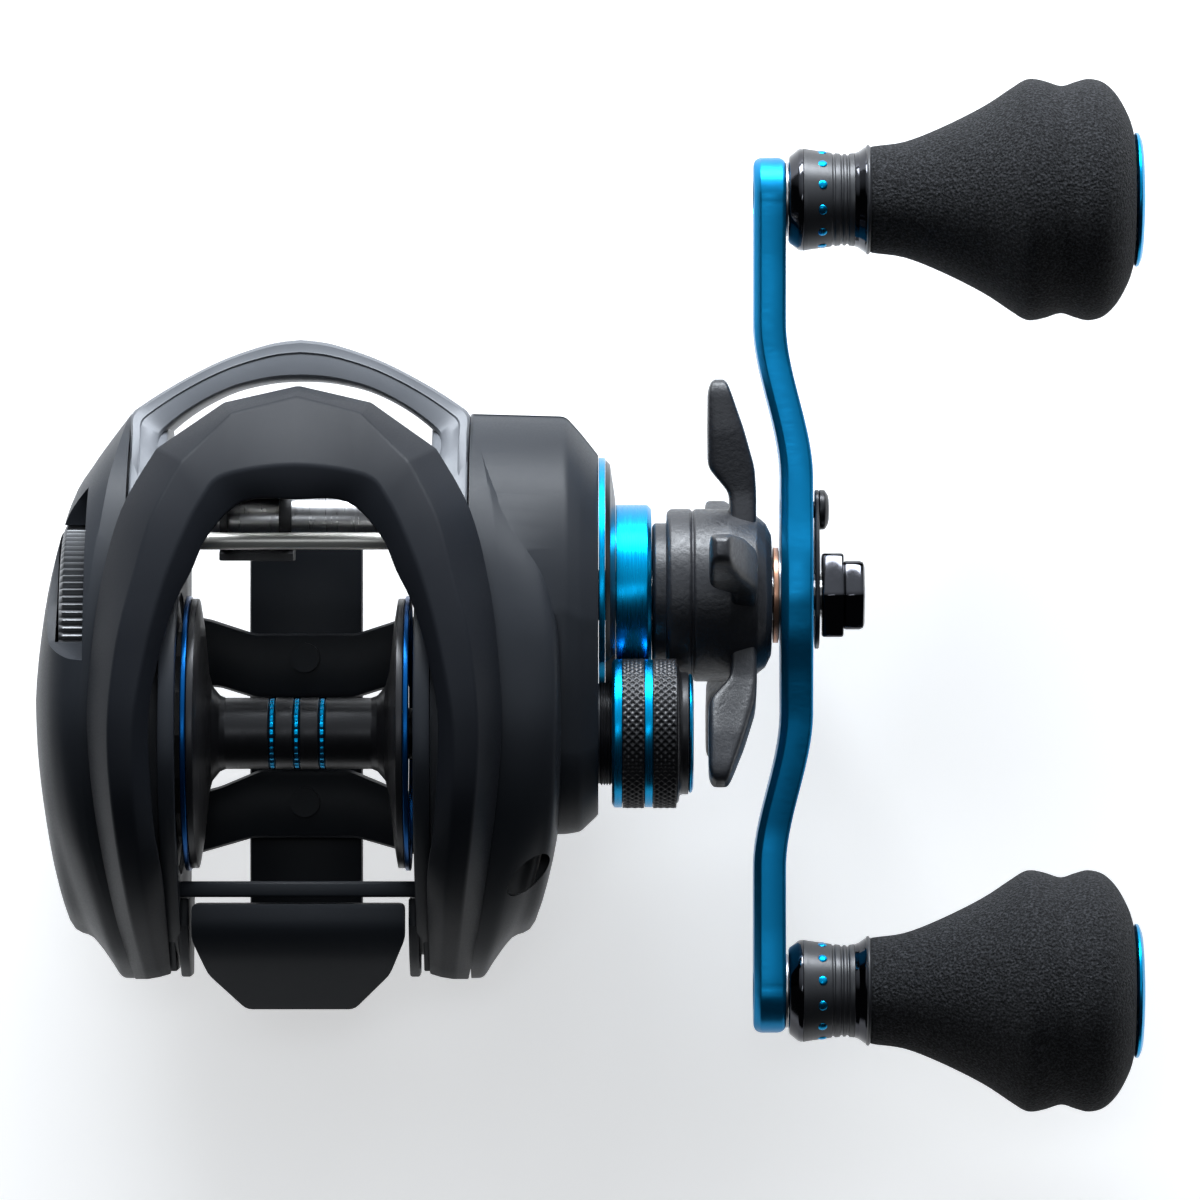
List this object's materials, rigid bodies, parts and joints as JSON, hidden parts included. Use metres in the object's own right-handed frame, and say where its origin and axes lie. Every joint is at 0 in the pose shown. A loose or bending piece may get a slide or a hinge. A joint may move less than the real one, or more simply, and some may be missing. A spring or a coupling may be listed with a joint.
{
  "type": "baitcasting reel",
  "caption": "Low-profile baitcasting fishing reel with level wind, star drag, spool tension knob, side brake dial and a double-knob crank handle.",
  "frame": {"origin": "centre of the reel foot's flat underside", "axes": "+X to the handle side, +Y towards the rod tip, +Z away from the rod"},
  "size_m": [0.1314, 0.1233, 0.0541],
  "materials": {
    "charcoal_paint": "matte charcoal paint",
    "satin_grey_paint": "satin grey paint",
    "blue_anodised": "bright blue anodised",
    "black_anodised": "black anodised, satin",
    "black_chrome": "black chrome, polished",
    "foam": "fine closed-cell foam",
    "carbon_fibre": "woven carbon friction disc",
    "steel": "turned or stamped steel",
    "brass": "cut brass",
    "chrome": "polished",
    "black_plastic": "moulded, matte",
    "white_nylon": "moulded nylon"
  },
  "bodies": {
    "frame": {"frame": "satin_grey_paint", "reel_foot": "charcoal_paint", "foot_screw_1": "steel", "foot_screw_2": "steel", "front_hood": "charcoal_paint", "palm_side_cover": "charcoal_paint", "handle_side_cover": "charcoal_paint", "gear_side_plate": "steel", "cover_screw_1": "steel", "cover_screw_2": "steel", "brake_plate": "black_plastic", "magnet_ring": "steel", "dial_pin": "steel", "spool_bearing_palm": "steel", "spool_bearing_handle": "steel", "pinion_bearing": "steel", "drive_shaft_bearing": "steel", "one_way_bearing": "steel", "cover_ring": "blue_anodised", "cover_cone": "black_anodised", "bearing_sleeve": "blue_anodised", "worm_tube": "steel", "guard_bar": "chrome", "yoke_spring_1": "steel", "yoke_spring_2": "steel"},
    "handle": {"drive_shaft": "steel", "main_gear": "brass", "drag_washer": "carbon_fibre", "drag_pressure_plate": "steel", "level_wind_drive_gear": "white_nylon", "handle_arm": "blue_anodised", "handle_nut": "black_chrome", "retainer_plate": "black_anodised", "retainer_screw": "black_anodised", "handle_washer": "brass", "knob_post_front": "steel", "knob_post_rear": "steel"},
    "spool": {"spool": "black_anodised", "spool_rim_left": "blue_anodised", "spool_rim_right": "blue_anodised", "spool_shaft": "steel"},
    "pinion": {"pinion_gear": "brass"},
    "worm": {"worm_shaft": "steel", "worm_gear": "white_nylon"},
    "guide": {"line_guide": "black_plastic", "line_eye": "chrome", "pawl": "brass"},
    "star": {"star_drag": "black_anodised"},
    "knob_front": {"knob_neck_front": "black_anodised", "knob_grip_front": "foam", "knob_cap_front": "blue_anodised"},
    "knob_rear": {"knob_neck_rear": "black_anodised", "knob_grip_rear": "foam", "knob_cap_rear": "blue_anodised"},
    "tension": {"tension_knob": "black_anodised", "tension_cap": "blue_anodised"},
    "dial": {"brake_dial": "satin_grey_paint"},
    "thumb": {"thumb_bar": "charcoal_paint", "clutch_cam": "steel"},
    "yoke": {"clutch_yoke": "brass"}
  },
  "joints": [
    {"name": "handle_turn", "type": "hinge", "parent": "frame", "child": "handle", "pos_m": [0, 0.0143, 0.0145], "axis": [1, 0, 0], "continuous": true},
    {"name": "spool_spin", "type": "hinge", "parent": "frame", "child": "spool", "pos_m": [0, -0.002, 0.025], "axis": [1, 0, 0], "continuous": true},
    {"name": "worm_spin", "type": "hinge", "parent": "frame", "child": "worm", "pos_m": [0, 0.0234, 0.019], "axis": [1, 0, 0], "continuous": true},
    {"name": "line_guide_slide", "type": "slide", "parent": "frame", "child": "guide", "axis": [1, 0, 0], "range_m": [-0.0036, 0.014]},
    {"name": "star_turn", "type": "hinge", "parent": "handle", "child": "star", "pos_m": [0, 0.0143, 0.0145], "axis": [1, 0, 0], "range_deg": [-180, 180]},
    {"name": "knob_front_spin", "type": "hinge", "parent": "handle", "child": "knob_front", "pos_m": [0.07, 0.0615, 0.0145], "axis": [1, 0, 0], "continuous": true},
    {"name": "knob_rear_spin", "type": "hinge", "parent": "handle", "child": "knob_rear", "pos_m": [0.07, -0.0329, 0.0145], "axis": [1, 0, 0], "continuous": true},
    {"name": "tension_knob_turn", "type": "hinge", "parent": "frame", "child": "tension", "pos_m": [0, -0.002, 0.025], "axis": [1, 0, 0], "range_deg": [-180, 180]},
    {"name": "brake_dial_turn", "type": "hinge", "parent": "frame", "child": "dial", "pos_m": [0, 0.0095, 0.0195], "axis": [1, 0, 0], "range_deg": [0, 270]},
    {"name": "thumb_bar_press", "type": "slide", "parent": "frame", "child": "thumb", "axis": [0, 0, -1], "range_m": [0, 0.005]},
    {"name": "yoke_shift", "type": "slide", "parent": "frame", "child": "yoke", "axis": [1, 0, 0], "range_m": [0, 0.0015]},
    {"name": "pinion_shift", "type": "slide", "parent": "spool", "child": "pinion", "axis": [1, 0, 0], "range_m": [0, 0.0015]}
  ],
  "couplings": [
    {"joint": "spool_spin", "follows": "handle_turn", "ratio": -6},
    {"joint": "worm_spin", "follows": "handle_turn", "ratio": -2},
    {"joint": "yoke_shift", "follows": "thumb_bar_press", "ratio": 0.3},
    {"joint": "pinion_shift", "follows": "thumb_bar_press", "ratio": 0.3}
  ]
}
